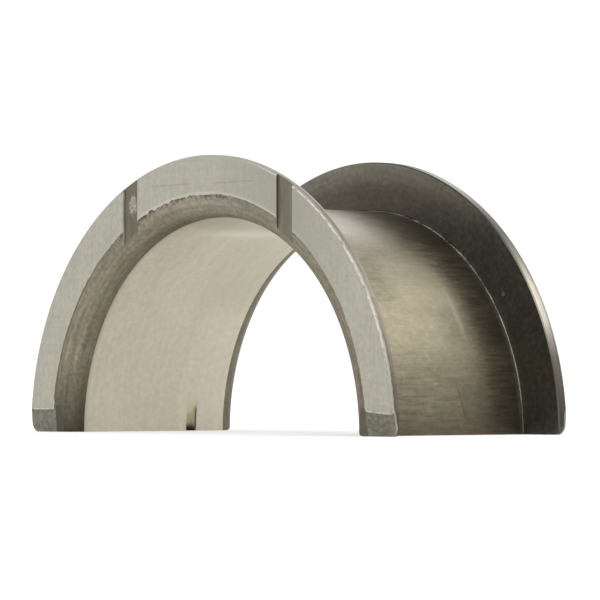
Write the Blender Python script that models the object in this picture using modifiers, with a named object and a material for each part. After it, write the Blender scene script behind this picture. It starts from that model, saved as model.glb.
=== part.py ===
"""Flanged crankshaft bearing shell: one of the two halves that close round a main journal.

The shell is one formed piece: a bimetal strip rolled into a half barrel, with a thrust flange turned
out at each end. Its bore and its outer thrust faces carry the bearing lining, and a lug pressed out of
the wall keeps it from turning in its seat. The bearing axis is Y, the parting faces lie on Z = 0, and
the origin is on the axis at mid-width.
"""

import math

import bmesh
import bpy

MM = 0.001

# Barrel
BORE_RADIUS = 35.5 * MM
WALL = 1.9 * MM
WIDTH = 38.5 * MM

# Flanges: the front one is ground thinner than the rear one
FLANGE_HEIGHT = 8.3 * MM
FRONT_FLANGE_THICKNESS = 1.5 * MM
REAR_FLANGE_THICKNESS = 1.95 * MM
CORNER_RADIUS = 3.7 * MM
RIM_ROUND = 0.4 * MM
RIM_CHAMFER = 0.2 * MM
UNDERCUT_RADIUS = 0.25 * MM
END_CORNER_RADIUS = 1.4 * MM

# Oil grooves: two upright slots across each thrust face
GROOVE_WIDTH = 3.75 * MM
GROOVE_DEPTH = 0.35 * MM
GROOVE_PITCH = 38.8 * MM
GROOVE_SHIFT = 0.6 * MM

# End reliefs: each thrust face falls away below its pads, down to the parting face
RELIEF_HEIGHT = 3.8 * MM
RELIEF_STEP = 0.2 * MM
RELIEF_END_DEPTH = 0.7 * MM
PAD_CORNER_RADIUS = 0.7 * MM
FRONT_RIGHT_PAD_DIP = 0.45 * MM

# Where each bore corner ends on the parting face
PARTING_ROUND = 0.65 * MM

# Locating lug: pressed outwards, which leaves a nick in the bore that deepens to the parting face
NICK_WIDTH = 2.3 * MM
NICK_HEIGHT = 5.2 * MM
NICK_END_DEPTH = 2.1 * MM
NICK_FROM_FRONT = 27.55 * MM
LUG_WIDTH = 3.0 * MM
LUG_HEIGHT = 1.4 * MM
LUG_LAND = 2.2 * MM
LUG_LENGTH = 5.8 * MM

# Resolution
TURN_STEPS = 144
CORNER_SEGMENTS = 8
UNDERCUT_SEGMENTS = 6
ROUND_SEGMENTS = 4
SHARP_ANGLE = math.radians(28)

# How far a cutter reaches past the surface it cuts
MARGIN = 2.0 * MM

# Places that follow from the sizes above
FRONT = -WIDTH / 2
REAR = WIDTH / 2
BACK_RADIUS = BORE_RADIUS + WALL
FLANGE_RADIUS = BACK_RADIUS + FLANGE_HEIGHT
FACE_INNER_RADIUS = BORE_RADIUS + CORNER_RADIUS
NICK_Y = FRONT + NICK_FROM_FRONT

# Direction in which a bore corner faces, between the bore and the thrust face
DIAGONAL = math.radians(45)

# Finish
LINING_COLOUR = (0.46, 0.43, 0.37, 1.0)
LINING_ROUGHNESS = 0.42


def clear_scene():
    for obj in list(bpy.data.objects):
        bpy.data.objects.remove(obj, do_unlink=True)


def new_collection(name):
    collection = bpy.data.collections.new(name)
    bpy.context.scene.collection.children.link(collection)
    return collection


def arc(centre, radius, start, end, segments):
    """Points on an arc in a flat section, from the start angle to the end angle in degrees."""
    points = []
    for step in range(segments + 1):
        angle = math.radians(start + (end - start) * step / segments)
        points.append((centre[0] + radius * math.cos(angle), centre[1] + radius * math.sin(angle)))
    return points


def shell_section():
    """The U section of the strip as (radius, y) points: up the bore, round the rear flange and back."""
    front_inner = FRONT + FRONT_FLANGE_THICKNESS
    rear_inner = REAR - REAR_FLANGE_THICKNESS
    rim_radius = FLANGE_RADIUS - RIM_ROUND
    points = arc((FACE_INNER_RADIUS, REAR - CORNER_RADIUS), CORNER_RADIUS, 180, 90, CORNER_SEGMENTS)
    points += arc((rim_radius, REAR - RIM_ROUND), RIM_ROUND, 90, 0, ROUND_SEGMENTS)
    points.append((FLANGE_RADIUS, rear_inner + RIM_CHAMFER))
    points.append((FLANGE_RADIUS - RIM_CHAMFER, rear_inner))
    points += arc((BACK_RADIUS, rear_inner), UNDERCUT_RADIUS, 0, 270, UNDERCUT_SEGMENTS)
    points += arc((BACK_RADIUS, front_inner), UNDERCUT_RADIUS, 90, 360, UNDERCUT_SEGMENTS)
    points.append((FLANGE_RADIUS - RIM_CHAMFER, front_inner))
    points.append((FLANGE_RADIUS, front_inner - RIM_CHAMFER))
    points += arc((rim_radius, FRONT + RIM_ROUND), RIM_ROUND, 0, -90, ROUND_SEGMENTS)
    points += arc((FACE_INNER_RADIUS, FRONT + CORNER_RADIUS), CORNER_RADIUS, 270, 180, CORNER_SEGMENTS)
    return points


def make_ring(collection):
    """The U section turned all the way round the bearing axis."""
    section = shell_section()
    mesh = bpy.data.meshes.new("bearing_shell")
    edges = [(index, (index + 1) % len(section)) for index in range(len(section))]
    mesh.from_pydata([(radius, y, 0.0) for radius, y in section], edges, [])
    ring = bpy.data.objects.new("bearing_shell", mesh)
    collection.objects.link(ring)
    turn = ring.modifiers.new("turn", "SCREW")
    turn.axis = "Y"
    turn.angle = math.tau
    turn.steps = TURN_STEPS
    turn.render_steps = TURN_STEPS
    return ring


def hide_tool(tool):
    tool.hide_render = True
    tool.display_type = "WIRE"


def box_tool(name, low, high, collection):
    """A box between two corners."""
    mesh = bpy.data.meshes.new(name)
    model = bmesh.new()
    bmesh.ops.create_cube(model, size=1.0)
    for vertex in model.verts:
        for axis in range(3):
            vertex.co[axis] = high[axis] if vertex.co[axis] > 0 else low[axis]
    model.to_mesh(mesh)
    model.free()
    tool = bpy.data.objects.new(name, mesh)
    collection.objects.link(tool)
    hide_tool(tool)
    return tool


def prism_tool(name, outline, low_y, high_y, collection):
    """An (x, z) outline, drawn anticlockwise as seen from the front, made solid between two y values."""
    mesh = bpy.data.meshes.new(name)
    model = bmesh.new()
    face = model.faces.new([model.verts.new((x, low_y, z)) for x, z in outline])
    extruded = bmesh.ops.extrude_face_region(model, geom=[face])["geom"]
    moved = [item for item in extruded if isinstance(item, bmesh.types.BMVert)]
    bmesh.ops.translate(model, verts=moved, vec=(0.0, high_y - low_y, 0.0))
    bmesh.ops.recalc_face_normals(model, faces=model.faces)
    model.to_mesh(mesh)
    model.free()
    tool = bpy.data.objects.new(name, mesh)
    collection.objects.link(tool)
    hide_tool(tool)
    return tool


def mirrored(outline):
    """The same outline on the other leg."""
    return [(-x, z) for x, z in reversed(outline)]


def lower_half_tool(collection):
    reach = FLANGE_RADIUS + MARGIN
    low = (-reach, FRONT - MARGIN, -reach)
    high = (reach, REAR + MARGIN, 0.0)
    return box_tool("lower_half", low, high, collection)


def face_depths(side, depth):
    """The y values of a cut of this depth into the front (side -1) or rear (side 1) thrust face."""
    face = side * WIDTH / 2
    return sorted((face - side * depth, face + side * MARGIN))


def groove_tools(collection):
    tools = []
    for side in (-1, 1):
        low_y, high_y = face_depths(side, GROOVE_DEPTH)
        for hand in (-1, 1):
            middle = GROOVE_SHIFT + hand * GROOVE_PITCH / 2
            low = (middle - GROOVE_WIDTH / 2, low_y, RELIEF_HEIGHT)
            high = (middle + GROOVE_WIDTH / 2, high_y, FLANGE_RADIUS + MARGIN)
            tools.append(box_tool("oil_groove", low, high, collection))
    return tools


def relief_outline(dip):
    """The end relief as seen from the front, under a pad edge that dips by this much towards the rim."""
    inner = math.sqrt(FACE_INNER_RADIUS**2 - RELIEF_HEIGHT**2)
    outer = math.sqrt(FLANGE_RADIUS**2 - RELIEF_HEIGHT**2)
    corner = PAD_CORNER_RADIUS
    outline = [(BORE_RADIUS - MARGIN, -RELIEF_HEIGHT - MARGIN), (outer + MARGIN, -RELIEF_HEIGHT - MARGIN)]
    outline += [(outer + MARGIN, corner - dip)]
    outline += arc((outer - corner, corner - dip), corner, 0, -90, ROUND_SEGMENTS)
    outline += arc((inner + corner, corner), corner, 270, 180, ROUND_SEGMENTS)
    outline += [(BORE_RADIUS - MARGIN, corner)]
    return outline


def relief_tools(collection):
    """Each relief hinges about its pad's lower edge, so that it deepens towards the parting face."""
    slope = math.atan((RELIEF_END_DEPTH - RELIEF_STEP) / RELIEF_HEIGHT)
    front_right = relief_outline(FRONT_RIGHT_PAD_DIP)
    level = relief_outline(0.0)
    tools = []
    for side, right, left in ((-1, front_right, level), (1, level, level)):
        low_y, high_y = sorted((0.0, side * MARGIN))
        for outline in (right, mirrored(left)):
            tool = prism_tool("end_relief", outline, low_y, high_y, collection)
            tool.location = (0.0, side * (WIDTH / 2 - RELIEF_STEP), RELIEF_HEIGHT)
            tool.rotation_euler.x = -side * slope
            tools.append(tool)
    return tools


def corner_outline(corner):
    """What lies outside a rounded lower corner whose sharp point would be at the origin."""
    outline = [(-corner, -MARGIN), (MARGIN, -MARGIN), (MARGIN, corner)]
    outline += arc((-corner, corner), corner, 0, -90, ROUND_SEGMENTS)
    return outline


def end_corner_tools(collection):
    """What lies outside the rounded lower corner of each flange."""
    outline = corner_outline(END_CORNER_RADIUS)
    tools = []
    for hand, shape in ((1, outline), (-1, mirrored(outline))):
        tool = prism_tool("end_corner", shape, FRONT - MARGIN, REAR + MARGIN, collection)
        tool.location.x = hand * FLANGE_RADIUS
        tools.append(tool)
    return tools


def parting_corner_tools(collection):
    """What lies outside the small round where each bore corner meets the parting face."""
    outline = corner_outline(PARTING_ROUND)
    x = FACE_INNER_RADIUS - CORNER_RADIUS * math.cos(DIAGONAL)
    y = WIDTH / 2 - CORNER_RADIUS + CORNER_RADIUS * math.sin(DIAGONAL)
    tools = []
    for side in (-1, 1):
        for hand in (-1, 1):
            tool = prism_tool("parting_corner", outline, -CORNER_RADIUS, CORNER_RADIUS, collection)
            tool.location = (hand * x, side * y, 0.0)
            tool.rotation_euler.z = math.atan2(side, -hand)
            tools.append(tool)
    return tools


def lug_tool(collection):
    """The lug on the back of the left leg: a flat land above the parting face, then a slope."""
    root = BORE_RADIUS + WALL / 2
    crest = BACK_RADIUS + LUG_HEIGHT
    top = math.sqrt(BACK_RADIUS**2 - LUG_LENGTH**2)
    outline = [(root, -MARGIN), (crest, -MARGIN), (crest, LUG_LAND), (top, LUG_LENGTH), (root, LUG_LENGTH)]
    low_y = NICK_Y - LUG_WIDTH / 2
    high_y = NICK_Y + LUG_WIDTH / 2
    return prism_tool("locating_lug", mirrored(outline), low_y, high_y, collection)


def nick_tool(collection):
    """The nick behind the lug: its floor leaves the bore wall at the top and slopes out to its end."""
    inside = BORE_RADIUS - MARGIN
    top = math.sqrt(BORE_RADIUS**2 - NICK_HEIGHT**2)
    end = BORE_RADIUS + NICK_END_DEPTH
    slope = (end - top) / NICK_HEIGHT
    outline = [(inside, -MARGIN), (end + slope * MARGIN, -MARGIN), (inside, (end - inside) / slope)]
    low_y = NICK_Y - NICK_WIDTH / 2
    high_y = NICK_Y + NICK_WIDTH / 2
    return prism_tool("nick", mirrored(outline), low_y, high_y, collection)


def combine(body, tool, operation):
    boolean = body.modifiers.new(tool.name, "BOOLEAN")
    boolean.operation = operation
    boolean.solver = "EXACT"
    boolean.object = tool


def finish_mesh(body):
    """Makes the turned and cut shape the object's own mesh, smooth but for its real edges."""
    graph = bpy.context.evaluated_depsgraph_get()
    mesh = bpy.data.meshes.new_from_object(body.evaluated_get(graph))
    body.modifiers.clear()
    body.data = mesh
    mesh.name = body.name
    mesh.shade_smooth()
    mesh.set_sharp_from_angle(angle=SHARP_ANGLE)


def bimetal_material():
    material = bpy.data.materials.new("ground_bimetal")
    material.use_nodes = True
    shader = material.node_tree.nodes["Principled BSDF"]
    shader.inputs["Base Color"].default_value = LINING_COLOUR
    shader.inputs["Metallic"].default_value = 1.0
    shader.inputs["Roughness"].default_value = LINING_ROUGHNESS
    return material


def build():
    clear_scene()
    parts = new_collection("engine_bearing_shell")
    tools = new_collection("cutters")
    shell = make_ring(parts)
    combine(shell, lug_tool(tools), "UNION")
    combine(shell, lower_half_tool(tools), "DIFFERENCE")
    cutters = end_corner_tools(tools) + parting_corner_tools(tools)
    cutters += relief_tools(tools) + groove_tools(tools) + [nick_tool(tools)]
    for cutter in cutters:
        combine(shell, cutter, "DIFFERENCE")
    finish_mesh(shell)
    shell.data.materials.append(bimetal_material())


build()
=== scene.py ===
"""Looks of a flanged bearing shell: its finely cut form, its finishes, the studio and the camera.

The shell is remade as one fine mesh in the place of the plain solid, with torn lining edges, rough
groove walls and broken edges. Lengths are in metres and angles round the bearing axis in radians; the
angles of arcs, glows and the camera are in degrees. Patterns are laid out in millimetres, on the
object's own coordinates or round the bearing axis.
"""

import math

import bmesh
import bpy
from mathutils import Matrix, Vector, noise


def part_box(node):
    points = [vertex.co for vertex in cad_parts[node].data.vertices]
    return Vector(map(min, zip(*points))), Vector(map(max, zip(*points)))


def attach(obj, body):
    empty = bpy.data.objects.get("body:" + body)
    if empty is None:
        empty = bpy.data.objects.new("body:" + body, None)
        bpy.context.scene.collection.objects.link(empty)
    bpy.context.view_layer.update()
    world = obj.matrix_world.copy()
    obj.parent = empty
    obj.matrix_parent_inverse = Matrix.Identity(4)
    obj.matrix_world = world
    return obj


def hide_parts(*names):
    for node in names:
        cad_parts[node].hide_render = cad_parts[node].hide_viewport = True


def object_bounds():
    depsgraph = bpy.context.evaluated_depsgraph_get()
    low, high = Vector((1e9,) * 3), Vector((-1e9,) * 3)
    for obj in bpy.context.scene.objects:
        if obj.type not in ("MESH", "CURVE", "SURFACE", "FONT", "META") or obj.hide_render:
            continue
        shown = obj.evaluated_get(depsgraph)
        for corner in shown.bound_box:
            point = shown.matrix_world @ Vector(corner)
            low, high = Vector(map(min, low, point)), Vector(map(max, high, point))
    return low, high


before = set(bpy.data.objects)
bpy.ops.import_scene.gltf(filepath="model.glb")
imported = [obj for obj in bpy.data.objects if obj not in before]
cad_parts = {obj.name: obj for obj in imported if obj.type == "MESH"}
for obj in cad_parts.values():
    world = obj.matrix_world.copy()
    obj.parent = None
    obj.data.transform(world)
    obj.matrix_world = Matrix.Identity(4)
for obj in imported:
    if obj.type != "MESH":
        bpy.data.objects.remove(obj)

CAD_LOW, CAD_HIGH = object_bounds()
SHELL_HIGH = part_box("bearing_shell")[1]

MM = 0.001

# The solid's own sizes: the outer ones come from the frame, and the fine form stays inside its box
INSIDE = 0.03 * MM
HALF_WIDTH = SHELL_HIGH.y
FLANGE_RADIUS = SHELL_HIGH.z - INSIDE
BORE_RADIUS = 35.5 * MM
WALL = 1.9 * MM
FRONT_FLANGE = 1.5 * MM
REAR_FLANGE = 1.95 * MM
CORNER_RADIUS = 3.7 * MM
RIM_ROUND = 0.4 * MM
RIM_CHAMFER = 0.2 * MM
UNDERCUT_RADIUS = 0.25 * MM
END_CORNER_RADIUS = 1.4 * MM
GROOVE_WIDTH = 3.75 * MM
GROOVE_DEPTH = 0.35 * MM
GROOVE_PITCH = 38.8 * MM
GROOVE_SHIFT = 0.6 * MM
RELIEF_HEIGHT = 3.8 * MM
RELIEF_STEP = 0.2 * MM
RELIEF_END_DEPTH = 0.7 * MM
PAD_CORNER_RADIUS = 0.7 * MM
FRONT_RIGHT_PAD_DIP = 0.45 * MM
PARTING_ROUND = 0.65 * MM
NICK_WIDTH = 2.3 * MM
NICK_HEIGHT = 5.2 * MM
NICK_END_DEPTH = 2.1 * MM
NICK_FROM_FRONT = 27.55 * MM
LUG_WIDTH = 3.0 * MM
LUG_HEIGHT = 1.4 * MM
LUG_LAND = 2.2 * MM
LUG_LENGTH = 5.8 * MM

# Fine form that only this script adds
TURN_STEPS = 720
CORNER_SEGMENTS = 14
UNDERCUT_SEGMENTS = 9
ROUND_SEGMENTS = 6
ROW_COUNT = 6
SUPPORT = 0.25 * MM
SHELF_DEPTH = 0.09 * MM
SHELF_FLARE = 0.11 * MM
PAD_EDGE_FLARE = 0.3 * MM
PAD_EDGE_DEPTH = 0.1 * MM
PAD_WALL_FLARE = 0.03 * MM
GROOVE_FLARE = 0.05 * MM
GROOVE_FOOT = 26 * MM
GROOVE_STEPS = 60
GROOVE_WAVER = 0.05 * MM
GROOVE_WAVES = 0.9
EDGE_BREAK = 0.12 * MM
SHARP_ANGLE = math.radians(30)
DIAGONAL = math.radians(45)
TOUCH = 0.02 * MM
MARGIN = 2.0 * MM

# The lining's torn edge: waves a millimetre, reaches in millimetres, degrees from the +X leg
TEAR_SLOW_WAVES = 0.22
TEAR_MIDDLE_WAVES = 0.8
TEAR_FINE_WAVES = 2.6
TEAR_SLOW_REACH = 0.10
TEAR_MIDDLE_SHARE = 2.0
TEAR_FINE_SHARE = 1.2
RAGGED_LEAST = 0.05
RAGGED_AT_CROWN = 0.10
RAGGED_ANGLE = 108
RAGGED_SPREAD = 22
WORN_REACH = 0.28
WORN_START = 112
WORN_SPAN = 60

BACK_RADIUS = BORE_RADIUS + WALL
FACE_INNER_RADIUS = BORE_RADIUS + CORNER_RADIUS
NICK_Y = NICK_FROM_FRONT - HALF_WIDTH

# How much of a face's direction lies along an axis where one finish gives way to another
FLAT = 0.995
NEARLY_FLAT = 0.98
SLANTED = 0.95
SQUARE_ON = 0.9
WALL_LIKE = 0.7
LOOKING_DOWN = 0.1

# How far a finish reaches past the size of its own form
GROOVE_REACH = 0.15 * MM
BURR_REACH = 0.6 * MM
BACK_REACH = 0.3 * MM

# Marks of this one shell, in millimetres on the object's own coordinates
STRUCK_SPANS = ((-12.5, -4.0), (3.5, 12.0))
STRUCK_HEIGHTS = (41.15, 40.9)
FLAKE_X = -18.2
FLAKE_Z = 37.9
FLAKE_HALF_WIDTH = 1.15
FLAKE_HALF_HEIGHT = 1.4
WORN_LINE_Y = 7.45
SCRATCH_FOOT_Y = 5.04
SCRATCH_SLOPE = 0.245
DENT = (32.8, (HALF_WIDTH - REAR_FLANGE) / MM, 22.9)

# The span that nearly all of a noise pattern's values lie in
NOISE_LOW = 0.3
NOISE_HIGH = 0.7

BLACK = (0.0, 0.0, 0.0)
# A dull lining colour, used for the pads' painted shade and for their scratches
SHADE_AND_SCRATCH_LINING = (0.30, 0.29, 0.245)

# The photo's camera, found by fitting the rims, the bore's edges and the base
NOMINAL_RADIUS = 45.7 * MM
CAMERA_AZIMUTH = 49.56
CAMERA_ELEVATION = 0.762
CAMERA_DISTANCE = 15.0848 * NOMINAL_RADIUS
AIM_AZIMUTH = 48.24
AIM_ELEVATION = -1.06
LENS = 252.8
SENSOR_WIDTH = 36.0
NEAREST = 0.01
FARTHEST = 20.0

# Studio: each glow is a soft patch of light in one direction from the object, with its half width
AMBIENT = 0.05
BACKDROP = 1.1
FLOOR_GLOW = 0.2
FLOOR_SIZE = 6.0
WHITE = (1.0, 1.0, 1.0, 1.0)
GLOWS = (
    ("high_right_rear", (0.41, 0.65, 0.64), 10, 1.8),
    ("right_high_wide", (0.48, 0.65, 0.59), 24, 0.52),
    ("left_front", (-0.76, -0.65, 0.05), 38, 0.97),
    ("right_front", (0.76, -0.65, 0.20), 45, 1.40),
    ("above", (0.0, 0.0, 1.0), 55, 1.01),
    ("above_rear", (0.2, 0.65, 0.73), 30, 0.12),
    ("left_rear_high", (-0.52, 0.65, 0.56), 13, 1.0),
    ("left_rear", (-0.60, 0.65, 0.45), 32, 0.25),
    ("right_rear", (0.76, 0.65, 0.05), 35, 0.32),
    ("rear", (0.1, 1.0, 0.15), 35, 0.45),
    ("left", (-1.0, 0.0, 0.15), 35, 0.20),
)

# A glow is full up to the first share of its half width and has faded out at the second
GLOW_FULL = 0.5
GLOW_GONE = 1.5


def arc(centre, radius, start, end, segments):
    """Points on an arc in a flat section, from the start angle to the end angle."""
    points = []
    for step in range(segments + 1):
        angle = math.radians(start + (end - start) * step / segments)
        points.append((centre[0] + radius * math.cos(angle), centre[1] + radius * math.sin(angle)))
    return points


def lining_edge_radius(angle, side):
    """The radius of the lining's torn inner edge on a thrust face, at an angle from the +X leg."""
    place = Vector((math.cos(angle), 0.0, math.sin(angle))) * FACE_INNER_RADIUS / MM
    seed = Vector((0.0, 40.0 * side, 7.0))
    slow = noise.noise(place * TEAR_SLOW_WAVES + seed)
    middle = noise.noise(place * TEAR_MIDDLE_WAVES + seed * 2)
    fine = noise.noise(place * TEAR_FINE_WAVES + seed * 3)
    degrees = math.degrees(angle)
    crown = math.exp(-((degrees - RAGGED_ANGLE) / RAGGED_SPREAD) ** 2)
    ragged = RAGGED_LEAST + RAGGED_AT_CROWN * crown
    reach = WORN_REACH * min(max((degrees - WORN_START) / WORN_SPAN, 0.0), 1.0)
    reach += TEAR_SLOW_REACH * slow
    reach += TEAR_MIDDLE_SHARE * ragged * middle
    reach += TEAR_FINE_SHARE * ragged * fine
    return FACE_INNER_RADIUS + reach * MM


def face_rows(angle, side):
    """Section points from a quarter-round over the torn step to the thrust face's rim, as (radius, y)."""
    centre = (FACE_INNER_RADIUS, HALF_WIDTH - CORNER_RADIUS)
    step_angle = math.degrees(math.asin((CORNER_RADIUS - SHELF_DEPTH) / CORNER_RADIUS))
    rows = arc(centre, CORNER_RADIUS, 180, 180 - step_angle, CORNER_SEGMENTS)
    edge = lining_edge_radius(angle, side)
    rows.append((edge, HALF_WIDTH - SHELF_DEPTH))
    rows.append((edge + SHELF_FLARE, HALF_WIDTH))
    rows.append((edge + SHELF_FLARE + SUPPORT, HALF_WIDTH))
    rows.append((FLANGE_RADIUS - RIM_ROUND - SUPPORT, HALF_WIDTH))
    rows += arc((FLANGE_RADIUS - RIM_ROUND, HALF_WIDTH - RIM_ROUND), RIM_ROUND, 90, 0, ROUND_SEGMENTS)
    return rows


def rows_between(radius, start, end):
    """Evenly spaced points along the bore or the back, without its two ends."""
    return [(radius, start + (end - start) * row / ROW_COUNT) for row in range(1, ROW_COUNT)]


def section(angle):
    """The whole U section at an angle, up the bore and round the rear flange to the front one."""
    front_inner = FRONT_FLANGE - HALF_WIDTH
    rear_inner = HALF_WIDTH - REAR_FLANGE
    rows = face_rows(angle, 1)
    rows.append((FLANGE_RADIUS, rear_inner + RIM_CHAMFER))
    rows.append((FLANGE_RADIUS - RIM_CHAMFER, rear_inner))
    rows.append((BACK_RADIUS + UNDERCUT_RADIUS + SUPPORT, rear_inner))
    rows += arc((BACK_RADIUS, rear_inner), UNDERCUT_RADIUS, 0, 270, UNDERCUT_SEGMENTS)
    rows += rows_between(BACK_RADIUS, rear_inner - UNDERCUT_RADIUS, front_inner + UNDERCUT_RADIUS)
    rows += arc((BACK_RADIUS, front_inner), UNDERCUT_RADIUS, 90, 360, UNDERCUT_SEGMENTS)
    rows.append((BACK_RADIUS + UNDERCUT_RADIUS + SUPPORT, front_inner))
    rows.append((FLANGE_RADIUS - RIM_CHAMFER, front_inner))
    rows.append((FLANGE_RADIUS, front_inner - RIM_CHAMFER))
    rows += [(radius, -y) for radius, y in reversed(face_rows(angle, -1))]
    rows += rows_between(BORE_RADIUS, CORNER_RADIUS - HALF_WIDTH, HALF_WIDTH - CORNER_RADIUS)
    return rows


def to_object(model, name):
    """An object of the scene, made from an editable mesh that is then freed."""
    mesh = bpy.data.meshes.new(name)
    model.to_mesh(mesh)
    model.free()
    made = bpy.data.objects.new(name, mesh)
    bpy.context.scene.collection.objects.link(made)
    return made


def lofted(name, outlines):
    """A closed solid through a row of outlines, each a list of (x, y, z) points of the same length."""
    model = bmesh.new()
    rings = [[model.verts.new(point) for point in outline] for outline in outlines]
    count = len(rings[0])
    for ring, after in zip(rings, rings[1:]):
        for index in range(count):
            following = (index + 1) % count
            model.faces.new((ring[index], ring[following], after[following], after[index]))
    model.faces.new(reversed(rings[0]))
    model.faces.new(rings[-1])
    bmesh.ops.recalc_face_normals(model, faces=model.faces)
    return to_object(model, name)


def turned_body():
    """The half ring, lofted from its section at each angle."""
    rings = []
    for step in range(TURN_STEPS + 1):
        angle = math.pi * step / TURN_STEPS
        across = math.cos(angle)
        up = math.sin(angle) if step < TURN_STEPS else 0.0
        rings.append([(radius * across, y, radius * up) for radius, y in section(angle)])
    return lofted("formed_shell", rings)


def prism(name, outline, low_y, high_y):
    """An (x, z) outline made solid between two y values."""
    return lofted(name, [[(x, y, z) for x, z in outline] for y in (low_y, high_y)])


def mirrored(outline):
    """An (x, z) outline made for the +X leg, turned over for the other one."""
    return [(-x, z) for x, z in reversed(outline)]


def groove_wall(side, hand, wall, z):
    """The x of one groove wall at a height: it wavers, as the cut was torn through the lining."""
    middle = GROOVE_SHIFT + hand * GROOVE_PITCH / 2
    waver = noise.noise(Vector((z / MM * GROOVE_WAVES, side * 5.0 + wall * 2.0, hand * 3.0)))
    return middle + wall * GROOVE_WIDTH / 2 + GROOVE_WAVER * waver


def groove_cutter(side, hand):
    """A slot with wavering walls and broken upper edges, swept up the thrust face."""
    face = side * HALF_WIDTH
    floor = face - side * GROOVE_DEPTH
    knee = face - side * GROOVE_FLARE
    out = face + side * MARGIN
    rings = []
    for step in range(GROOVE_STEPS + 1):
        z = GROOVE_FOOT + (FLANGE_RADIUS + MARGIN - GROOVE_FOOT) * step / GROOVE_STEPS
        left = groove_wall(side, hand, -1, z)
        right = groove_wall(side, hand, 1, z)
        ring = [(left - GROOVE_FLARE, out), (left - GROOVE_FLARE, face), (left, knee), (left, floor)]
        ring += [(right, floor), (right, knee), (right + GROOVE_FLARE, face), (right + GROOVE_FLARE, out)]
        rings.append([(x, y, z) for x, y in ring])
    return lofted("groove_cutter", rings)


def relief_outline(dip, flare):
    """The end relief as seen from the front: the flare widens it, which narrows the pad above."""
    inner = math.sqrt(FACE_INNER_RADIUS**2 - RELIEF_HEIGHT**2)
    outer = math.sqrt(FLANGE_RADIUS**2 - RELIEF_HEIGHT**2)
    corner = PAD_CORNER_RADIUS
    outline = [(BORE_RADIUS - MARGIN, -RELIEF_HEIGHT - MARGIN), (outer + MARGIN, -RELIEF_HEIGHT - MARGIN)]
    outline += [(outer + MARGIN, corner - dip)]
    outline += arc((outer - corner, corner - dip), corner - flare, 0, -90, ROUND_SEGMENTS)
    outline += arc((inner + corner, corner), corner - flare, 270, 180, ROUND_SEGMENTS)
    outline += [(BORE_RADIUS - MARGIN, corner)]
    return outline


def relief_cutter(side, hand):
    """One relief, hinged about its pad's lower edge; its upper wall leans back into a rolled edge."""
    dip = FRONT_RIGHT_PAD_DIP if (side, hand) == (-1, 1) else 0.0
    roll = RELIEF_STEP - PAD_EDGE_DEPTH
    levels = ((0.0, 0.0), (roll, PAD_WALL_FLARE), (RELIEF_STEP, PAD_EDGE_FLARE), (MARGIN, PAD_EDGE_FLARE))
    outlines = []
    for height, flare in levels:
        outline = relief_outline(dip, flare)
        if hand < 0:
            outline = mirrored(outline)
        outlines.append([(x, side * height, z) for x, z in outline])
    cutter = lofted("relief_cutter", outlines)
    cutter.location = (0.0, side * (HALF_WIDTH - RELIEF_STEP), RELIEF_HEIGHT)
    cutter.rotation_euler.x = -side * math.atan((RELIEF_END_DEPTH - RELIEF_STEP) / RELIEF_HEIGHT)
    return cutter


def corner_outline(corner):
    """What lies outside a rounded lower corner whose sharp point would be at the origin."""
    outline = [(-corner, -MARGIN), (MARGIN, -MARGIN), (MARGIN, corner)]
    outline += arc((-corner, corner), corner, 0, -90, ROUND_SEGMENTS)
    return outline


def end_corner_cutter(hand):
    """What lies outside the rounded lower corners of both flanges on one leg."""
    outline = corner_outline(END_CORNER_RADIUS)
    if hand < 0:
        outline = mirrored(outline)
    cutter = prism("end_corner_cutter", outline, -HALF_WIDTH - MARGIN, HALF_WIDTH + MARGIN)
    cutter.location.x = hand * FLANGE_RADIUS
    return cutter


def parting_corner_cutter(side, hand):
    """The small round where a bore corner meets the parting face."""
    cutter = prism("parting_corner_cutter", corner_outline(PARTING_ROUND), -CORNER_RADIUS, CORNER_RADIUS)
    x = FACE_INNER_RADIUS - CORNER_RADIUS * math.cos(DIAGONAL)
    y = HALF_WIDTH - CORNER_RADIUS + CORNER_RADIUS * math.sin(DIAGONAL)
    cutter.location = (hand * x, side * y, 0.0)
    cutter.rotation_euler.z = math.atan2(side, -hand)
    return cutter


def lug():
    """The locating lug: a land beside the parting face, sloping in to the back above it."""
    root = BORE_RADIUS + WALL / 2
    crest = BACK_RADIUS + LUG_HEIGHT
    top = math.sqrt(BACK_RADIUS**2 - LUG_LENGTH**2)
    outline = [(root, 0.0), (crest - EDGE_BREAK, 0.0), (crest, EDGE_BREAK), (crest, LUG_LAND)]
    outline += [(top, LUG_LENGTH), (root, LUG_LENGTH)]
    return prism("lug", mirrored(outline), NICK_Y - LUG_WIDTH / 2, NICK_Y + LUG_WIDTH / 2)


def nick_cutter():
    """The nick behind the lug: its floor leaves the bore wall at the top and slopes out to its end."""
    inside = BORE_RADIUS - MARGIN
    top = math.sqrt(BORE_RADIUS**2 - NICK_HEIGHT**2)
    end = BORE_RADIUS + NICK_END_DEPTH
    slope = (end - top) / NICK_HEIGHT
    outline = [(inside, -MARGIN), (end + slope * MARGIN, -MARGIN), (inside, (end - inside) / slope)]
    return prism("nick_cutter", mirrored(outline), NICK_Y - NICK_WIDTH / 2, NICK_Y + NICK_WIDTH / 2)


def combine(body, tool, operation):
    """Joins a tool to a body or cuts it out, by a modifier that is applied later."""
    boolean = body.modifiers.new(tool.name, "BOOLEAN")
    boolean.operation = operation
    boolean.solver = "EXACT"
    boolean.object = tool


def apply_modifiers(body):
    """Replaces a body's mesh with what its modifiers make of it."""
    graph = bpy.context.evaluated_depsgraph_get()
    mesh = bpy.data.meshes.new_from_object(body.evaluated_get(graph))
    body.modifiers.clear()
    body.data = mesh


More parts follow.
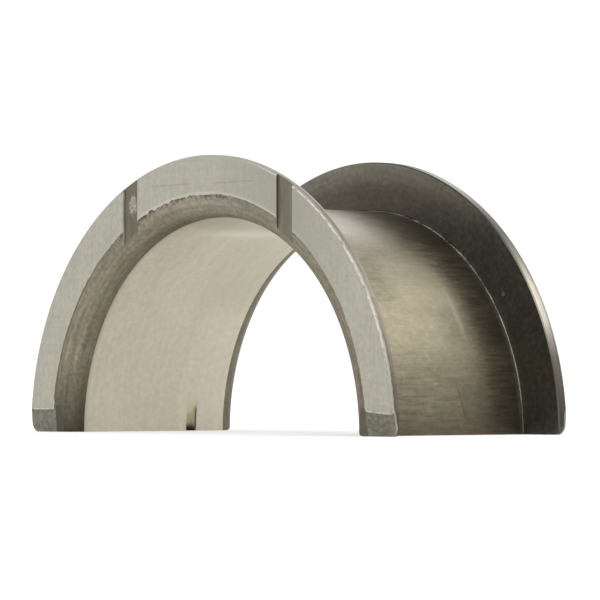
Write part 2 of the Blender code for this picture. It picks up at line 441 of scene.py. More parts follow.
def fine_shell():
    """The turned body with its lug, cut by every tool, and the tools thrown away."""
    body = turned_body()
    tools = [lug()]
    combine(body, tools[0], "UNION")
    cutters = [nick_cutter()]
    for hand in (-1, 1):
        cutters.append(end_corner_cutter(hand))
        for side in (-1, 1):
            cutters.append(parting_corner_cutter(side, hand))
            cutters.append(relief_cutter(side, hand))
            cutters.append(groove_cutter(side, hand))
    for cutter in cutters:
        combine(body, cutter, "DIFFERENCE")
    apply_modifiers(body)
    for tool in tools + cutters:
        bpy.data.objects.remove(tool, do_unlink=True)
    body.data.shade_smooth()
    body.data.set_sharp_from_angle(angle=SHARP_ANGLE)
    weighted = body.modifiers.new("normals", "WEIGHTED_NORMAL")
    weighted.keep_sharp = True
    apply_modifiers(body)
    return body


class Nodes:
    """A node tree, with helpers that add a node to it and give back its output."""

    def __init__(self, tree):
        self.tree = tree

    def feed(self, value, socket):
        """Links a node's output to a socket, or sets the socket to a plain value."""
        if isinstance(value, bpy.types.NodeSocket):
            self.tree.links.new(value, socket)
        else:
            socket.default_value = value

    def calculate(self, kind, operation, values, output):
        """What a node of some kind makes of its values, given in the order of its sockets."""
        node = self.tree.nodes.new(kind)
        node.operation = operation
        for value, socket in zip(values, node.inputs):
            self.feed(value, socket)
        return node.outputs[output]

    def math(self, operation, *values):
        """The result of an operation on one or two numbers."""
        return self.calculate("ShaderNodeMath", operation, values, "Value")

    def vector(self, operation, first, second, output="Vector"):
        """The result of an operation on two vectors."""
        return self.calculate("ShaderNodeVectorMath", operation, (first, second), output)

    def remap(self, value, low, high, to_low, to_high):
        """A value moved evenly from one span to another, and held at the ends."""
        node = self.tree.nodes.new("ShaderNodeMapRange")
        for given, name in zip((value, low, high, to_low, to_high),
                               ("Value", "From Min", "From Max", "To Min", "To Max")):
            self.feed(given, node.inputs[name])
        return node.outputs["Result"]


class Finish(Nodes):
    """A finish: a Principled shader, with helpers for patterns laid out in millimetres."""

    def __init__(self, name, metallic=1.0):
        self.material = bpy.data.materials.new(name)
        self.material.use_nodes = True
        super().__init__(self.material.node_tree)
        self.shader = self.tree.nodes["Principled BSDF"]
        self.shader.inputs["Metallic"].default_value = metallic
        source = self.tree.nodes.new("ShaderNodeTexCoord").outputs["Object"]
        self.place = self.vector("MULTIPLY", source, (1 / MM, 1 / MM, 1 / MM))
        split = self.tree.nodes.new("ShaderNodeSeparateXYZ")
        self.feed(self.place, split.inputs["Vector"])
        self.x, self.y, self.z = split.outputs

    def product(self, value, *others):
        """Numbers multiplied together."""
        for other in others:
            value = self.math("MULTIPLY", value, other)
        return value

    def apart(self, value, middle):
        """How far a value is from a middle one, either way."""
        return self.math("ABSOLUTE", self.math("SUBTRACT", value, middle))

    def from_axis(self):
        """The distance out from the bearing axis."""
        squares = (self.math("POWER", self.x, 2), self.math("POWER", self.z, 2))
        return self.math("SQRT", self.math("ADD", *squares))

    def round_place(self, radius):
        """Coordinates round the bearing axis: way round at a radius, y, distance out."""
        around = self.product(self.math("ARCTAN2", self.z, self.x), radius / MM)
        joined = self.tree.nodes.new("ShaderNodeCombineXYZ")
        for value, socket in zip((around, self.y, self.from_axis()), joined.inputs):
            self.feed(value, socket)
        return joined.outputs["Vector"]

    def grain(self, place, waves, detail=2.0):
        """Noise from 0 to 1, with a number of waves a millimetre along each axis."""
        node = self.tree.nodes.new("ShaderNodeTexNoise")
        self.feed(self.vector("MULTIPLY", place, waves), node.inputs["Vector"])
        node.inputs["Scale"].default_value = 1.0
        node.inputs["Detail"].default_value = detail
        return node.outputs["Fac"]

    def mottle(self, waves, detail=3.0):
        """Noise that is alike along every axis."""
        return self.grain(self.place, (waves, waves, waves), detail)

    def rise(self, value, low, high, most=1.0):
        """0 up to the low value, growing to the most from the high one on."""
        return self.remap(value, low, high, 0.0, most)

    def fall(self, value, low, high, most=1.0):
        """The most up to the low value, fading to 0 from the high one on."""
        return self.remap(value, low, high, most, 0.0)

    def within(self, value, low, high, soft):
        """1 from the low value to the high one, falling to 0 over the soft distance on either side."""
        return self.product(self.rise(value, low - soft, low), self.fall(value, high, high + soft))

    def spread(self, value, low, high):
        """A noise value spread from a low number to a high one."""
        return self.remap(value, NOISE_LOW, NOISE_HIGH, low, high)

    def blend(self, factor, first, second, mode="MIX"):
        """Two colours mixed by a factor; a plain colour is given as (red, green, blue)."""
        node = self.tree.nodes.new("ShaderNodeMix")
        node.data_type = "RGBA"
        node.blend_type = mode
        self.feed(factor, node.inputs["Factor"])
        for colour, name in ((first, "A_Color"), (second, "B_Color")):
            socket = next(item for item in node.inputs if item.identifier == name)
            self.feed((*colour, 1.0) if isinstance(colour, tuple) else colour, socket)
        return next(item for item in node.outputs if item.identifier == "Result_Color")

    def shade(self, colour, value, amount):
        """A colour made lighter and darker by a noise value, by this share of itself either way."""
        level = self.spread(value, 1.0 - amount, 1.0 + amount)
        grey = self.tree.nodes.new("ShaderNodeCombineColor")
        for socket in grey.inputs:
            self.feed(level, socket)
        return self.blend(1.0, colour, grey.outputs["Color"], "MULTIPLY")

    def colour(self, value):
        """Gives the shader its colour."""
        self.feed(value, self.shader.inputs["Base Color"])

    def rough(self, value, low, high):
        """Gives the shader a roughness that goes with a noise value."""
        self.feed(self.spread(value, low, high), self.shader.inputs["Roughness"])

    def bump(self, height, distance):
        """Gives the shader relief from a height value; the distance is its real size in metres."""
        node = self.tree.nodes.new("ShaderNodeBump")
        node.inputs["Distance"].default_value = distance
        node.inputs["Strength"].default_value = 1.0
        self.feed(height, node.inputs["Height"])
        self.feed(node.outputs["Normal"], self.shader.inputs["Normal"])


def face_lining():
    """The thrust pads: pale, cloudy and finely ground up and down, with a few level scratches."""
    finish = Finish("face_lining")
    cloud = finish.mottle(0.13)
    tint = finish.grain(finish.place, (0.42, 0.42, 0.22))
    ground = finish.grain(finish.place, (1.5, 1.0, 0.16))
    level = finish.grain(finish.place, (0.14, 1.0, 2.4))
    fleck = finish.grain(finish.place, (1.3, 1.3, 1.0))
    cool = finish.blend(cloud, (0.356, 0.361, 0.302), (0.395, 0.403, 0.345))
    warm = finish.blend(cloud, (0.382, 0.353, 0.299), (0.423, 0.397, 0.341))
    colour = finish.blend(finish.rise(tint, 0.38, 0.62), cool, warm)
    for value, amount in ((ground, 0.045), (fleck, 0.10)):
        colour = finish.shade(colour, value, amount)
    # Painted shade: the pads right of the crown are darkened towards a dull lining colour.
    painted_face_shade = finish.product(finish.rise(finish.x, 2.0, 14.0, 0.55), finish.fall(finish.x, 24.0, 36.0))
    colour = finish.blend(painted_face_shade, colour, SHADE_AND_SCRATCH_LINING)
    inner = FACE_INNER_RADIUS / MM
    # Painted highlight: the pads are lightened along the lining's torn inner edge near the crown.
    painted_lip_highlight = finish.product(finish.fall(finish.from_axis(), inner + 0.3, inner + 0.6, 0.7),
                         finish.rise(finish.z, 30.0, 35.0))
    colour = finish.blend(painted_lip_highlight, colour, (0.50, 0.475, 0.43))
    from_line = finish.apart(finish.z, finish.spread(level, *STRUCK_HEIGHTS))
    struck = finish.math("ADD", *(finish.within(finish.x, *span, 1.5) for span in STRUCK_SPANS))
    front = finish.math("LESS_THAN", finish.y, 0.0)
    line = finish.product(struck, front, finish.fall(from_line, 0.05, 0.20, 0.38))
    colour = finish.blend(line, colour, (0.20, 0.19, 0.155))
    scratch = finish.rise(level, 0.64, 0.72, 0.30)
    finish.colour(finish.blend(scratch, colour, SHADE_AND_SCRATCH_LINING))
    finish.rough(fleck, 0.44, 0.54)
    finish.bump(finish.math("ADD", ground, level), 0.004 * MM)
    return finish.material


def bore_lining():
    """The bored lining: matt and warm, with faint turning lines round it and fine flecks.

    It has painted shade under the crown, a painted highlight below that, and painted shade towards the
    rear.
    """
    finish = Finish("bore_lining")
    place = finish.round_place(BORE_RADIUS)
    turned = finish.grain(place, (0.06, 0.9, 1.0))
    fleck = finish.grain(place, (1.2, 1.2, 1.0))
    cloud = finish.mottle(0.12)
    colour = finish.blend(cloud, (0.554, 0.513, 0.410), (0.600, 0.567, 0.465))
    for value, amount in ((turned, 0.035), (fleck, 0.08)):
        colour = finish.shade(colour, value, amount)
    # Painted shade under the crown, a painted highlight band below it, and painted shade towards the rear.
    crown = finish.rise(finish.z, 33.4, 34.8, 0.38)
    colour = finish.blend(crown, colour, (0.30, 0.28, 0.225))
    gleam = finish.product(finish.within(finish.z, 33.2, 33.6, 0.5),
                           finish.rise(finish.y, -11.0, -3.0, 0.42))
    colour = finish.blend(gleam, colour, (0.74, 0.71, 0.64))
    dimmed = finish.product(finish.within(finish.z, 23.0, 32.0, 4.0), finish.rise(finish.y, 0.0, 8.0, 0.35))
    colour = finish.blend(dimmed, colour, (0.42, 0.39, 0.315))
    first = (CORNER_RADIUS - HALF_WIDTH) / MM
    edge = finish.fall(finish.y, first, first + 0.9, 0.35)
    finish.colour(finish.blend(edge, colour, (0.25, 0.23, 0.17)))
    finish.rough(fleck, 0.46, 0.56)
    finish.bump(turned, 0.003 * MM)
    return finish.material


def cut_steel():
    """The quarter-round cut through the lining: brown-grey steel, streaked round, darker at its ends."""
    finish = Finish("cut_steel")
    place = finish.round_place(FACE_INNER_RADIUS)
    out = finish.from_axis()
    streak = finish.grain(place, (0.10, 1.7, 1.7))
    patch = finish.grain(place, (0.16, 0.5, 0.5), 3.0)
    tint = finish.grain(place, (0.3, 0.9, 0.9))
    fleck = finish.mottle(1.5, 2.0)
    olive = finish.blend(patch, (0.192, 0.179, 0.127), (0.280, 0.260, 0.193))
    brown = finish.blend(patch, (0.206, 0.179, 0.130), (0.292, 0.256, 0.195))
    right = finish.rise(finish.x, 2.0, 13.0, 0.9)
    upper_right = finish.product(right, finish.rise(finish.z, 22.0, 28.0))
    brownish = finish.product(finish.math("SUBTRACT", 1.0, upper_right), finish.rise(tint, 0.38, 0.62))
    colour = finish.blend(brownish, olive, brown)
    reddish = finish.rise(finish.x, 26.0, 32.0, 0.4)
    colour = finish.blend(reddish, colour, (0.225, 0.182, 0.143))
    crown = finish.product(finish.rise(finish.x, -9.0, -3.0, 0.3), finish.fall(finish.x, 6.0, 11.0))
    colour = finish.blend(crown, colour, (0.38, 0.36, 0.31))
    for value, amount in ((streak, 0.26), (fleck, 0.17)):
        colour = finish.shade(colour, value, amount)
    # Painted shadow: dark ragged patches under the lining's torn edge near the crown.
    inner = FACE_INNER_RADIUS / MM
    under = finish.product(finish.rise(out, inner - 0.9, inner - 0.2, 0.7),
                           finish.rise(finish.z, 27.0, 34.0))
    torn = finish.rise(finish.mottle(1.1), 0.48, 0.58)
    painted_tear_shadow = finish.product(under, torn, finish.math("SUBTRACT", 1.0, right))
    colour = finish.blend(painted_tear_shadow, colour, (0.055, 0.050, 0.036))
    first = BORE_RADIUS / MM
    beside_bore = finish.product(finish.fall(out, first, first + 0.9),
                                 finish.remap(finish.z, 30.0, 34.0, 0.3, 0.6))
    colour = finish.blend(beside_bore, colour, (0.07, 0.062, 0.042))
    foot = finish.product(finish.fall(finish.z, 0.5, 13.0, 0.80),
                          finish.remap(finish.x, -5.0, 5.0, 1.0, 0.3),
                          finish.remap(finish.y, -5.0, 5.0, 1.0, 0.15))
    finish.colour(finish.blend(foot, colour, (0.036, 0.034, 0.023)))
    finish.rough(streak, 0.50, 0.68)
    finish.bump(streak, 0.01 * MM)
    return finish.material


def relief_steel():
    """The end reliefs: hand-ground, dull and mottled, and darker along their inner edge."""
    finish = Finish("relief_steel")
    mottle = finish.mottle(1.6, 5.0)
    ground = finish.grain(finish.place, (0.5, 1.0, 1.6), 3.0)
    stain = finish.mottle(0.55)
    colour = finish.blend(finish.rise(mottle, 0.35, 0.65), (0.143, 0.133, 0.103), (0.230, 0.227, 0.185))
    colour = finish.blend(finish.rise(stain, 0.52, 0.66, 0.50), colour, (0.162, 0.124, 0.097))
    # Darker along the inner edge, most on the left leg.
    darker_tone = finish.blend(finish.rise(finish.x, -5.0, 5.0), (0.050, 0.047, 0.033), (0.115, 0.090, 0.073))
    inner = FACE_INNER_RADIUS / MM
    colour = finish.blend(finish.fall(finish.from_axis(), inner - 0.2, inner + 0.05, 0.72), colour, darker_tone)
    finish.colour(finish.shade(colour, ground, 0.12))
    finish.rough(mottle, 0.42, 0.58)
    finish.bump(mottle, 0.02 * MM)
    return finish.material


def groove_steel():
    """Groove floors: brown, dark and patchy, with a torn flake of lining left in the front left one."""
    finish = Finish("groove_steel")
    patch = finish.grain(finish.place, (0.55, 0.55, 0.30), 3.0)
    ground = finish.grain(finish.place, (1.3, 1.0, 0.25))
    colour = finish.blend(patch, (0.132, 0.120, 0.089), (0.200, 0.186, 0.146))
    colour = finish.shade(colour, ground, 0.14)
    left = finish.math("LESS_THAN", finish.x, 0.0)
    reddish = finish.product(left, finish.rise(finish.z, 38.0, 40.0, 0.45))
    colour = finish.blend(reddish, colour, (0.165, 0.116, 0.088))
    shaded = finish.product(left, finish.fall(finish.z, 36.0, 37.2, 0.22))
    colour = finish.blend(shaded, colour, (0.080, 0.078, 0.066))
    beside = finish.math("DIVIDE", finish.math("SUBTRACT", finish.x, FLAKE_X), FLAKE_HALF_WIDTH)
    above = finish.math("DIVIDE", finish.math("SUBTRACT", finish.z, FLAKE_Z), FLAKE_HALF_HEIGHT)
    away = finish.math("ADD", finish.math("POWER", beside, 2), finish.math("POWER", above, 2))
    ragged = finish.grain(finish.place, (1.5, 1.5, 0.9), 4.0)
    edge = finish.math("ADD", away, finish.spread(ragged, 0.9, -0.9))
    front = finish.math("LESS_THAN", finish.y, 0.0)
    flake = finish.product(front, finish.fall(edge, 0.45, 1.25, 0.8))
    slanted = finish.math("ADD", finish.x, finish.product(finish.z, 0.6))
    lines = finish.math("ADD", finish.product(slanted, 4.5), finish.product(finish.mottle(1.5), 26.0))
    torn = finish.rise(finish.math("SINE", lines), -0.6, 1.0)
    lining = finish.blend(torn, (0.25, 0.24, 0.195), (0.47, 0.455, 0.395))
    finish.colour(finish.blend(flake, colour, lining))
    finish.rough(patch, 0.40, 0.58)
    finish.bump(finish.math("ADD", finish.product(flake, ragged), ground), 0.03 * MM)
    return finish.material


def groove_side():
    """The torn walls of the grooves on the lug's side: dull lining with grease in it."""
    finish = Finish("groove_side", metallic=0.0)
    torn = finish.grain(finish.place, (1.2, 1.2, 0.5), 3.0)
    finish.colour(finish.blend(finish.rise(torn, 0.35, 0.65), (0.21, 0.19, 0.14), (0.42, 0.39, 0.31)))
    finish.rough(torn, 0.7, 0.9)
    return finish.material


def brushed_back():
    """The steel back: golden olive and brushed along the axis.

    It has a painted highlight high on its front, a painted lit patch and two patches of painted shade, a
    worn line round it, a slanted scratch low down, painted shade towards the rear flange with a painted
    highlight along the corner there, and it is darker at its foot.
    """
    finish = Finish("brushed_back")
    place = finish.round_place(BACK_RADIUS)
    brushed = finish.grain(place, (2.6, 0.28, 1.0))
    broad = finish.grain(place, (0.7, 0.10, 1.0), 3.0)
    speck = finish.grain(place, (1.4, 1.1, 1.0))
    stain = finish.mottle(0.22, 4.0)
    colour = finish.blend(stain, (0.180, 0.153, 0.101), (0.222, 0.203, 0.144))
    for value, amount in ((brushed, 0.18), (broad, 0.05), (speck, 0.11)):
        colour = finish.shade(colour, value, amount)
    # Painted shade: the back darkens towards the rear flange.
    rear = finish.rise(finish.y, -3.0, 7.0, 0.32)
    colour = finish.blend(rear, colour, (0.085, 0.073, 0.048))
    # Painted highlight: a pale sheen high on the front of the back.
    cloudy = finish.math("ADD", finish.z, finish.spread(stain, -2.0, 2.0))
    painted_sheen = finish.product(finish.fall(finish.y, -4.0, 3.0, 0.68), finish.rise(cloudy, 28.5, 34.0))
    colour = finish.blend(painted_sheen, colour, (0.258, 0.252, 0.228))
    # A painted lit patch, and two bands of painted shade towards the rear.
    lit = finish.product(finish.within(finish.z, 23.0, 27.0, 3.0),
                         finish.within(finish.y, -2.0, 7.0, 3.5), 0.27)
    colour = finish.blend(lit, colour, (0.40, 0.35, 0.245))
    dim = finish.math("ADD", finish.within(finish.z, 31.0, 34.5, 1.5),
                      finish.within(finish.z, 15.5, 19.0, 2.0))
    dim = finish.product(dim, finish.rise(finish.y, 1.0, 4.5, 0.28))
    colour = finish.blend(dim, colour, (0.050, 0.045, 0.030))
    # Painted highlight along the corner beside the rear flange.
    corner = finish.rise(finish.y, 16.3, 16.9, 0.5)
    colour = finish.blend(corner, colour, (0.42, 0.40, 0.33))
    beside_worn = finish.apart(finish.y, WORN_LINE_Y)
    wear_and_painted_light = finish.product(finish.fall(beside_worn, 0.05, 0.80, 0.26),
                          finish.within(finish.z, 19.0, 22.0, 6.0))
    colour = finish.blend(wear_and_painted_light, colour, (0.34, 0.32, 0.25))
    sloping = finish.math("ADD", finish.y, finish.product(finish.z, SCRATCH_SLOPE))
    beside = finish.apart(sloping, SCRATCH_FOOT_Y)
    scratch = finish.product(finish.fall(beside, 0.05, 0.25, 0.5), finish.within(finish.z, 3.0, 7.0, 0.6))
    colour = finish.blend(scratch, colour, (0.07, 0.06, 0.042))
    # Darker towards its foot, most at the front.
    darker_foot = finish.product(finish.fall(finish.z, 1.0, 4.5, 0.55),
                           finish.remap(finish.y, -12.0, -4.0, 1.3, 0.7))
    colour = finish.blend(darker_foot, colour, (0.098, 0.072, 0.053))
    spot = finish.rise(speck, 0.70, 0.78, 0.5)
    finish.colour(finish.blend(spot, colour, (0.30, 0.28, 0.215)))
    finish.rough(brushed, 0.30, 0.42)
    finish.bump(brushed, 0.006 * MM)
    return finish.material


def flange_inner_steel():
    """The inner sides of the flanges: dark, oily and mottled, faintly turned round the axis.

    They are rusty towards the crown, with painted light near the rim there and painted shade near the
    back, and the rear one has a small round dent.
    """
    finish = Finish("flange_inner_steel")
    out = finish.from_axis()
    turned = finish.grain(finish.round_place(BACK_RADIUS), (0.10, 1.0, 1.5), 3.0)
    mottle = finish.mottle(1.2)
    stain = finish.mottle(0.25)
    oily = finish.blend(stain, (0.077, 0.075, 0.066), (0.112, 0.107, 0.096))
    rusty = finish.blend(stain, (0.077, 0.068, 0.051), (0.116, 0.099, 0.076))
    colour = finish.blend(finish.rise(finish.z, 29.0, 41.0), oily, rusty)
    # Painted light near the rim at the crown, and painted shade near the back there.
    crown = finish.rise(finish.z, 32.0, 40.0)
    outer = finish.product(crown, finish.rise(out, 41.5, 45.5, 0.55))
    colour = finish.blend(outer, colour, (0.242, 0.224, 0.182))
    inner = finish.product(crown, finish.fall(out, 40.0, 42.5, 0.35))
    colour = finish.blend(inner, colour, (0.040, 0.034, 0.026))
    for value, amount in ((turned, 0.09), (mottle, 0.18)):
        colour = finish.shade(colour, value, amount)
    from_dent = finish.vector("DISTANCE", finish.place, DENT, "Value")
    ring = finish.product(finish.remap(from_dent, 0.06, 0.20, 0.2, 0.8), finish.fall(from_dent, 0.26, 0.46))
    finish.colour(finish.blend(ring, colour, (0.32, 0.31, 0.27)))
    finish.rough(mottle, 0.36, 0.48)
    finish.bump(turned, 0.005 * MM)
    return finish.material


def undercut_steel():
    """The round channels in the corners behind the flanges: turned bright, and dark near the foot."""
    finish = Finish("undercut_steel")
    turned = finish.grain(finish.round_place(BACK_RADIUS), (0.35, 1.0, 1.0), 3.0)
    colour = finish.blend(finish.rise(turned, 0.35, 0.65), (0.13, 0.12, 0.10), (0.38, 0.37, 0.33))
    finish.colour(finish.blend(finish.fall(finish.z, 3.0, 15.0, 0.75), colour, (0.09, 0.082, 0.068)))
    finish.rough(turned, 0.34, 0.46)
    return finish.material


def parting_steel():
    """The parting faces: broached steel, with the lining as a pale line along the bore."""
    finish = Finish("parting_steel")
    cut = finish.grain(finish.place, (6.0, 0.12, 1.0), 3.0)
    steel = finish.shade((0.30, 0.275, 0.225), cut, 0.15)
    first = BORE_RADIUS / MM
    lining = finish.fall(finish.math("ABSOLUTE", finish.x), first + 0.28, first + 0.34)
    finish.colour(finish.blend(lining, steel, (0.50, 0.48, 0.41)))
    finish.rough(cut, 0.30, 0.44)
    finish.bump(cut, 0.006 * MM)
    return finish.material


def rim_steel(name, dark, light, shade_outside_band, wear_and_painted_light, dim, lining, burr_tones, lines, smooth, rough):
    """A rim: a ragged burr lit up by a painted highlight, a dull edge of lining, a dark bond line, then
    turned steel.

    Below the pads, where the lining is cut away, it is a bright edge and then darker steel. The steel has
    painted shade outside a band of painted highlight, low down and high up, a painted highlight on its far
    edge at the crown, and painted shade on its inner chamfer.
    """
    finish = Finish(name)
    place = finish.round_place(FLANGE_RADIUS)
    turned = finish.grain(place, (0.12, 1.4, 1.0))
    spot = finish.grain(place, (0.55, 0.8, 0.8), 3.0)
    torn = finish.grain(place, (1.1, 1.6, 1.6), 3.0)
    depth = finish.math("SUBTRACT", HALF_WIDTH / MM, finish.math("ABSOLUTE", finish.y))
    uneven = finish.math("ADD", depth, finish.spread(torn, -0.10, 0.10))
    steel = finish.blend(spot, dark, light)
    # Painted highlight: a band of height keeps the steel bright, and outside it the steel is darkened as
    # painted shade.
    painted_highlight_band = finish.product(finish.rise(finish.z, 12.5, 18.6), finish.fall(finish.z, 24.2, 33.0))
    steel = finish.blend(painted_highlight_band, finish.blend(shade_outside_band, steel, BLACK), steel)
    steel = finish.shade(steel, turned, lines)
    # Painted dark reflection: the steel darkens low down.
    steel = finish.blend(finish.fall(finish.z, 7.0, 15.0, 0.5), steel, (0.115, 0.090, 0.070))
    # Painted highlight on the far edge at the crown.
    edge = finish.product(finish.rise(depth, 1.0, 1.25, wear_and_painted_light), finish.rise(finish.z, 30.0, 33.0))
    steel = finish.blend(edge, steel, (0.42, 0.40, 0.34))
    # Painted shade high up, and on the inner chamfer.
    steel = finish.blend(finish.rise(finish.z, 31.0, 37.5, dim), steel, BLACK)
    chamfer = finish.rise(depth, 1.70, 1.88, 0.45)
    steel = finish.blend(chamfer, steel, (0.050, 0.045, 0.035))
    bond = finish.product(finish.rise(uneven, 0.38, 0.46), finish.fall(uneven, 0.55, 0.80, 0.45))
    colour = finish.blend(bond, steel, (0.09, 0.08, 0.06))
    colour = finish.blend(finish.fall(uneven, 0.36, 0.42), colour, lining)
    # Painted highlight: the burr's bright rolled tones, greyer towards the left and darker low down.
    rolled = finish.blend(finish.rise(torn, 0.34, 0.62), *burr_tones)
    burr = finish.blend(finish.rise(finish.x, 10.0, 22.0), (0.36, 0.345, 0.29), rolled)
    burr = finish.blend(finish.fall(finish.z, 8.0, 17.0, 0.75), burr, (0.26, 0.25, 0.205))
    colour = finish.blend(finish.fall(uneven, 0.07, 0.18), colour, burr)
    pad_foot = RELIEF_HEIGHT / MM
    cut = finish.remap(finish.z, 0.0, pad_foot, RELIEF_END_DEPTH / MM, RELIEF_STEP / MM)
    behind = finish.math("SUBTRACT", uneven, cut)
    darker_tone = finish.blend(0.7, steel, (0.082, 0.072, 0.058))
    foot = finish.blend(finish.fall(behind, 0.28, 0.45), darker_tone, (0.34, 0.325, 0.28))
    low = finish.fall(finish.z, pad_foot - 0.1, pad_foot + 0.3)
    finish.colour(finish.blend(low, colour, foot))
    finish.rough(turned, smooth, rough)
    finish.bump(turned, 0.004 * MM)
    return finish.material


def front_rim():
    """The front rim, dulled by handling."""
    # Painted highlight: bright burr tones, and a lightened far edge at the crown.
    return rim_steel("front_rim", dark=(0.172, 0.152, 0.116), light=(0.249, 0.226, 0.177), shade_outside_band=0.0,
                     wear_and_painted_light=0.8, dim=0.0, lining=(0.30, 0.285, 0.24),
                     burr_tones=((0.34, 0.32, 0.27), (0.72, 0.70, 0.64)),
                     lines=0.12, smooth=0.38, rough=0.48)


def rear_rim():
    """The rear rim, as smooth as it was turned."""
    # Painted light: lighter steel in a band of painted highlight, painted shade outside it and high up, and
    # a darker lining edge and burr than the front's.
    return rim_steel("rear_rim", dark=(0.230, 0.212, 0.175), light=(0.300, 0.282, 0.237), shade_outside_band=0.63,
                     wear_and_painted_light=0.0, dim=0.4, lining=(0.19, 0.18, 0.155),
                     burr_tones=((0.18, 0.17, 0.15), (0.28, 0.27, 0.245)),
                     lines=0.20, smooth=0.18, rough=0.26)


def burred_lining():
    """The lining's torn and rolled edges: lit up by a painted highlight, left out on the lug leg's inner
    edge.
    """
    finish = Finish("burred_lining")
    torn = finish.mottle(1.4)
    # Painted highlight on the torn edges, left out along the inner edge of the lug's leg.
    colour = finish.blend(finish.rise(torn, 0.36, 0.62), (0.37, 0.355, 0.30), (0.60, 0.585, 0.52))
    wear_and_painted_light = finish.product(finish.fall(finish.x, -24.0, -14.0), finish.rise(finish.z, 5.0, 6.0))
    finish.colour(finish.blend(wear_and_painted_light, colour, (0.15, 0.14, 0.095)))
    finish.rough(torn, 0.26, 0.42)
    finish.bump(torn, 0.02 * MM)
    return finish.material


def nick_steel():
    """The nick: dull pressed lining, with painted shade at the parting face and on its walls low down."""
    finish = Finish("nick_steel", metallic=0.2)
    pressed = finish.grain(finish.place, (1.2, 1.2, 1.4), 3.0)
    # Painted shade: dark at the foot, by the parting face.
    colour = finish.blend(finish.rise(finish.z, 0.5, 1.5), (0.05, 0.044, 0.03), (0.60, 0.55, 0.40))
    # Painted shade on the walls, low down beside the bore.
    half = NICK_WIDTH / MM / 2
    wall = finish.rise(finish.apart(finish.y, NICK_Y / MM), half - 0.05, half)
    first = BORE_RADIUS / MM
    shallow = finish.fall(finish.from_axis(), first + 0.35, first + 0.6)
    lower = finish.product(wall, shallow, finish.fall(finish.z, 3.4, 4.4))
    colour = finish.blend(lower, colour, (0.16, 0.14, 0.10))
    finish.colour(finish.shade(colour, pressed, 0.08))
    finish.rough(pressed, 0.62, 0.78)
    finish.bump(pressed, 0.01 * MM)
    return finish.material


FINISHES = {
    "face": face_lining, "bore": bore_lining, "corner": cut_steel, "relief": relief_steel,
    "groove": groove_steel, "back": brushed_back, "flange_inner": flange_inner_steel,
    "undercut": undercut_steel, "parting": parting_steel, "front_rim": front_rim,
    "rear_rim": rear_rim, "burr": burred_lining, "nick": nick_steel, "groove_side": groove_side,
}


def in_nick(centre, radius):
    """Whether a place is on the nick's floor or walls."""
    beside = abs(centre.y - NICK_Y) < NICK_WIDTH / 2 + TOUCH
    return beside and centre.x < 0 and centre.z < NICK_HEIGHT and BORE_RADIUS + TOUCH < radius < BACK_RADIUS


def in_groove(centre):
    """Whether a place is in one of the oil grooves."""
    floor = HALF_WIDTH - GROOVE_DEPTH - TOUCH
    beside = min(abs(centre.x - GROOVE_SHIFT - hand * GROOVE_PITCH / 2) for hand in (-1, 1))
    near = beside < GROOVE_WIDTH / 2 + GROOVE_REACH
    return near and centre.z > GROOVE_FOOT and floor < abs(centre.y) < HALF_WIDTH - TOUCH / 2


def in_undercut(radius, depth):
    """Whether a place is in one of the channels behind the flanges."""
    away = min(math.hypot(radius - BACK_RADIUS, depth - thick) for thick in (FRONT_FLANGE, REAR_FLANGE))
    return away < UNDERCUT_RADIUS + TOUCH


def surface(centre, normal):
    """Which finish a face has, from where it lies and where it looks."""
    radius = math.hypot(centre.x, centre.z)
    depth = HALF_WIDTH - abs(centre.y)
    sideways = abs(normal.y)
    if centre.z < TOUCH and normal.z < -SQUARE_ON:
        return "parting"
    if depth < TOUCH and sideways > FLAT:
        return "face"
    if in_nick(centre, radius):
        return "nick"
    if radius < BORE_RADIUS + TOUCH and depth > CORNER_RADIUS - TOUCH:
        return "bore"
    if in_groove(centre) and abs(normal.x) > WALL_LIKE and centre.x < 0:
        return "groove_side"
    if in_groove(centre) and (sideways > NEARLY_FLAT or abs(normal.x) > WALL_LIKE):
        return "groove"
    if in_undercut(radius, depth):
        return "undercut"
    if radius > BACK_RADIUS + UNDERCUT_RADIUS and depth > FRONT_FLANGE - TOUCH and sideways > SQUARE_ON:
        return "flange_inner"
    low = centre.z < RELIEF_HEIGHT + PAD_EDGE_FLARE
    if low and RELIEF_STEP - TOUCH < depth < RELIEF_END_DEPTH + TOUCH and sideways > NEARLY_FLAT:
        return "relief"
    turned_edge = depth < RIM_ROUND and radius > FLANGE_RADIUS - RIM_ROUND
    if turned_edge or (sideways < SLANTED and radius > FLANGE_RADIUS - END_CORNER_RADIUS):
        return "front_rim" if centre.y < 0 else "rear_rim"
    if low and depth < RELIEF_STEP + TOUCH and normal.z < -LOOKING_DOWN:
        return "burr"
    if depth < SHELF_DEPTH and sideways < SLANTED and radius > FACE_INNER_RADIUS - BURR_REACH:
        return "burr"
    if radius > BACK_RADIUS - BACK_REACH and depth > FRONT_FLANGE - TOUCH - UNDERCUT_RADIUS:
        return "back"
    return "corner"


def dress(shell):
    """Gives every face of the shell its finish."""
    names = list(FINISHES)
    for make in FINISHES.values():
        shell.data.materials.append(make())
    for polygon in shell.data.polygons:
        polygon.material_index = names.index(surface(polygon.center, polygon.normal))


def floor_paper():
    """White paper: even, with the faintest tooth."""
    finish = Finish("floor_paper", metallic=0.0)
    tooth = finish.mottle(0.02, 2.0)
    finish.colour(finish.blend(tooth, (0.74, 0.74, 0.735), (0.76, 0.76, 0.755)))
    finish.shader.inputs["Roughness"].default_value = 0.7
    finish.shader.inputs["Specular IOR Level"].default_value = 0.0
    finish.shader.inputs["Emission Color"].default_value = WHITE
    finish.shader.inputs["Emission Strength"].default_value = FLOOR_GLOW
    return finish.material


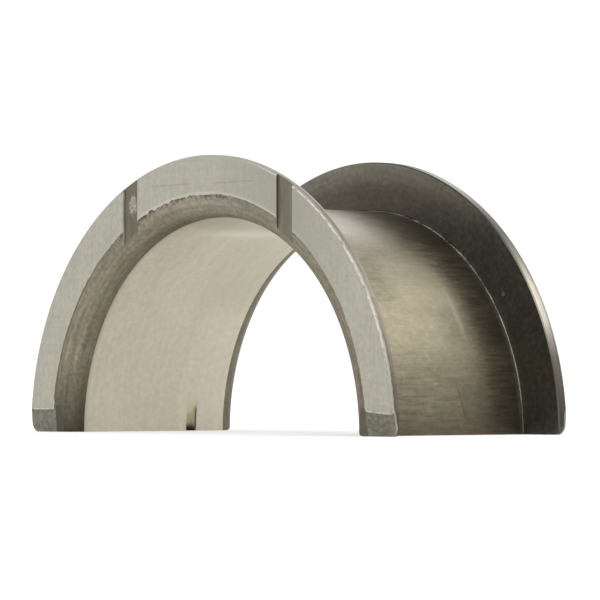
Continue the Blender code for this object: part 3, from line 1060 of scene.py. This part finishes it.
def room_light(nodes):
    """The sum of the ambient light and every glow, by direction from the object."""
    direction = nodes.tree.nodes.new("ShaderNodeTexCoord").outputs["Generated"]
    total = AMBIENT
    for name, towards, half_width, strength in GLOWS:
        facing = nodes.vector("DOT_PRODUCT", direction, Vector(towards).normalized(), "Value")
        gone = math.cos(math.radians(half_width * GLOW_GONE))
        full = math.cos(math.radians(half_width * GLOW_FULL))
        glow = nodes.remap(facing, gone, full, 0.0, strength)
        glow.node.interpolation_type = "SMOOTHSTEP"
        glow.node.label = name
        total = nodes.math("ADD", total, glow)
    return total


def studio():
    """A wide pale floor under a room of soft light, with a plain white backdrop for the camera."""
    floor_model = bmesh.new()
    bmesh.ops.create_grid(floor_model, x_segments=1, y_segments=1, size=FLOOR_SIZE)
    floor = to_object(floor_model, "floor")
    floor.location.z = CAD_LOW.z
    floor.data.materials.append(floor_paper())
    world = bpy.data.worlds.new("studio")
    bpy.context.scene.world = world
    world.use_nodes = True
    tree = world.node_tree
    tree.nodes.clear()
    nodes = Nodes(tree)
    mix = tree.nodes.new("ShaderNodeMixShader")
    for strength, socket in ((room_light(nodes), mix.inputs[1]), (BACKDROP, mix.inputs[2])):
        background = tree.nodes.new("ShaderNodeBackground")
        background.inputs["Color"].default_value = WHITE
        nodes.feed(strength, background.inputs["Strength"])
        nodes.feed(background.outputs["Background"], socket)
    path = tree.nodes.new("ShaderNodeLightPath")
    output = tree.nodes.new("ShaderNodeOutputWorld")
    nodes.feed(path.outputs["Is Camera Ray"], mix.inputs["Fac"])
    nodes.feed(mix.outputs["Shader"], output.inputs["Surface"])


def photo_camera():
    """The camera at the photo's angle and distance, aimed as the photo is framed."""
    data = bpy.data.cameras.new("photo_camera")
    camera = bpy.data.objects.new("photo_camera", data)
    bpy.context.scene.collection.objects.link(camera)
    azimuth = math.radians(CAMERA_AZIMUTH)
    elevation = math.radians(CAMERA_ELEVATION)
    level = math.cos(elevation)
    back = Vector((math.sin(azimuth) * level, -math.cos(azimuth) * level, math.sin(elevation)))
    camera.location = Vector((0.0, -HALF_WIDTH, 0.0)) + back * CAMERA_DISTANCE
    camera.rotation_euler = (math.radians(90 - AIM_ELEVATION), 0.0, math.radians(AIM_AZIMUTH))
    data.sensor_width = SENSOR_WIDTH
    data.lens = LENS
    data.clip_start = NEAREST
    data.clip_end = FARTHEST
    bpy.context.scene.camera = camera


def main():
    """Builds the dressed shell, the studio and the camera."""
    shell = fine_shell()
    dress(shell)
    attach(shell, "root")
    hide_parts("bearing_shell")
    studio()
    photo_camera()
    view = bpy.context.scene.view_settings
    view.view_transform = "Standard"
    view.look = "None"


main()
